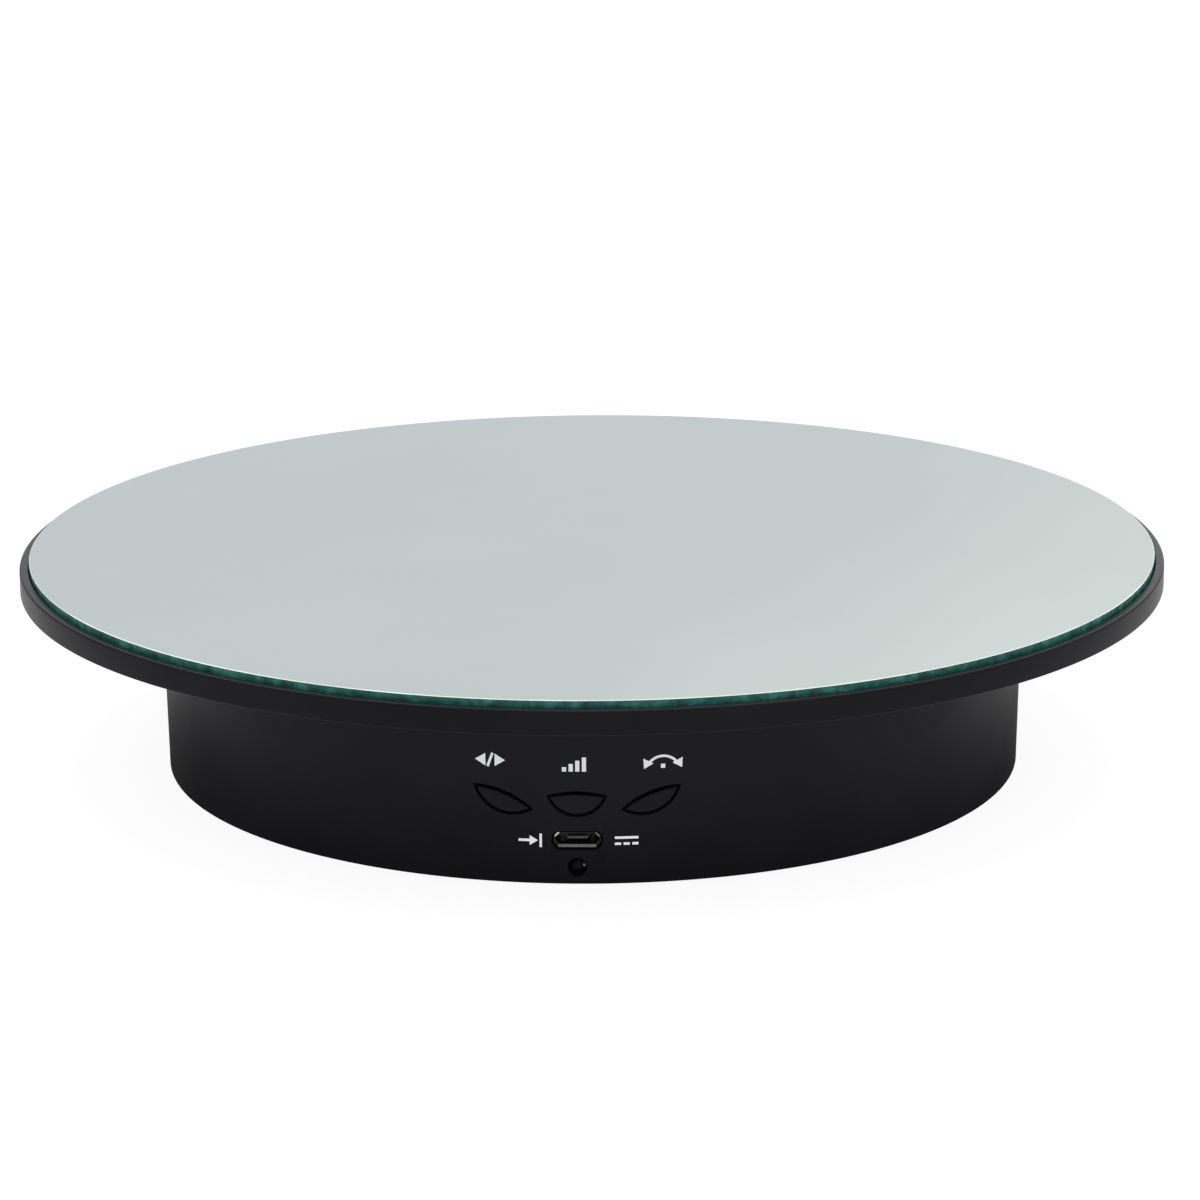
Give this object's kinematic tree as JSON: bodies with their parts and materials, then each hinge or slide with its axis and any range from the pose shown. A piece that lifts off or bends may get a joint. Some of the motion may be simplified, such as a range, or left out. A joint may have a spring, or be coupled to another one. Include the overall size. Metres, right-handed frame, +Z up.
{
  "type": "turntable display stand",
  "caption": "Low round motorised display stand: mirror-topped platter on a ball race over a drum base with leaf-shaped keys and a micro-USB inlet.",
  "frame": {"origin": "centre of the four feet on the table, under the platter's axis", "axes": "+Z up along the platter's axis, -Y towards the control keys, +X to the right of someone facing the keys"},
  "size_m": [0.2, 0.2, 0.0392],
  "materials": {
    "mirror": "polished float glass, silvered underneath",
    "foam_tape": "matte foam",
    "platter_plastic": "satin moulded",
    "base_plastic": "satin moulded",
    "cover_plastic": "fine spark texture",
    "key_plastic": "satin moulded",
    "nylon": "waxy moulded",
    "zinc_screw": "bright zinc",
    "steel": "turned",
    "pressed_steel": "pressed and plated",
    "spring_steel": "blackened",
    "ball_steel": "polished",
    "sintered_bronze": "porous, oiled",
    "coil_iron": "varnished winding and iron",
    "blue_plastic": "gloss",
    "brass": "hobbed",
    "wire_sleeve": "smooth sleeve",
    "connector_plastic": "natural nylon",
    "tinned_metal": "tinned",
    "circuit_board": "solder mask over tracks",
    "chip_plastic": "moulded epoxy",
    "plunger_plastic": "gloss",
    "gold_contact": "gold flash",
    "lamp_lens": "clear resin",
    "capacitor_sleeve": "shrink sleeve",
    "foot_rubber": "matte"
  },
  "bodies": {
    "base": {"base_housing": "base_plastic", "bottom_cover": "cover_plastic", "rubber_feet": "foot_rubber", "cover_screws": "zinc_screw", "spindle_bush": "sintered_bronze", "lower_race": "pressed_steel", "motor_case": "pressed_steel", "motor_core": "coil_iron", "motor_wire_cap": "blue_plastic", "motor_screws": "zinc_screw", "motor_nuts": "zinc_screw", "motor_leads": "wire_sleeve", "motor_plug": "connector_plastic", "motor_header": "connector_plastic", "header_pins": "tinned_metal", "control_board": "circuit_board", "board_screws": "zinc_screw", "switch_bodies": "chip_plastic", "switch_covers": "tinned_metal", "usb_shell": "tinned_metal", "usb_tongue": "chip_plastic", "usb_contacts": "gold_contact", "power_led": "lamp_lens", "driver_chip": "chip_plastic", "controller_chip": "chip_plastic", "smoothing_capacitor": "capacitor_sleeve"},
    "turntable": {"platter": "platter_plastic", "mirror_glass": "mirror", "mirror_tape": "foam_tape", "drive_gear": "nylon", "gear_screws": "zinc_screw", "spindle": "steel", "spindle_washer": "steel", "retaining_clip": "spring_steel", "upper_race": "pressed_steel"},
    "motor_output": {"motor_shaft": "steel", "pinion": "brass"},
    "ball_set": {"ball_cage": "nylon", "bearing_balls": "ball_steel"},
    "direction_key": {"direction_button": "key_plastic", "direction_plunger": "plunger_plastic"},
    "speed_key": {"speed_button": "key_plastic", "speed_plunger": "plunger_plastic"},
    "angle_key": {"angle_button": "key_plastic", "angle_plunger": "plunger_plastic"}
  },
  "joints": [
    {"name": "turntable_spin", "type": "hinge", "parent": "base", "child": "turntable", "pos_m": [0, 0, 0.0272], "axis": [0, 0, 1], "continuous": true},
    {"name": "motor_spin", "type": "hinge", "parent": "base", "child": "motor_output", "pos_m": [0, 0.0525, 0.0295], "axis": [0, 0, 1], "continuous": true},
    {"name": "cage_spin", "type": "hinge", "parent": "base", "child": "ball_set", "pos_m": [0, 0, 0.03022], "axis": [0, 0, 1], "continuous": true},
    {"name": "direction_press", "type": "slide", "parent": "base", "child": "direction_key", "axis": [0, 1, 0], "range_m": [0, 0.0005], "stiffness_N_per_m": 3000, "springref_m": -0.0002},
    {"name": "speed_press", "type": "slide", "parent": "base", "child": "speed_key", "axis": [0, 1, 0], "range_m": [0, 0.0005], "stiffness_N_per_m": 3000, "springref_m": -0.0002},
    {"name": "angle_press", "type": "slide", "parent": "base", "child": "angle_key", "axis": [0, 1, 0], "range_m": [0, 0.0005], "stiffness_N_per_m": 3000, "springref_m": -0.0002}
  ],
  "couplings": [
    {"joint": "motor_spin", "follows": "turntable_spin", "ratio": -6},
    {"joint": "cage_spin", "follows": "turntable_spin", "ratio": 0.5}
  ]
}
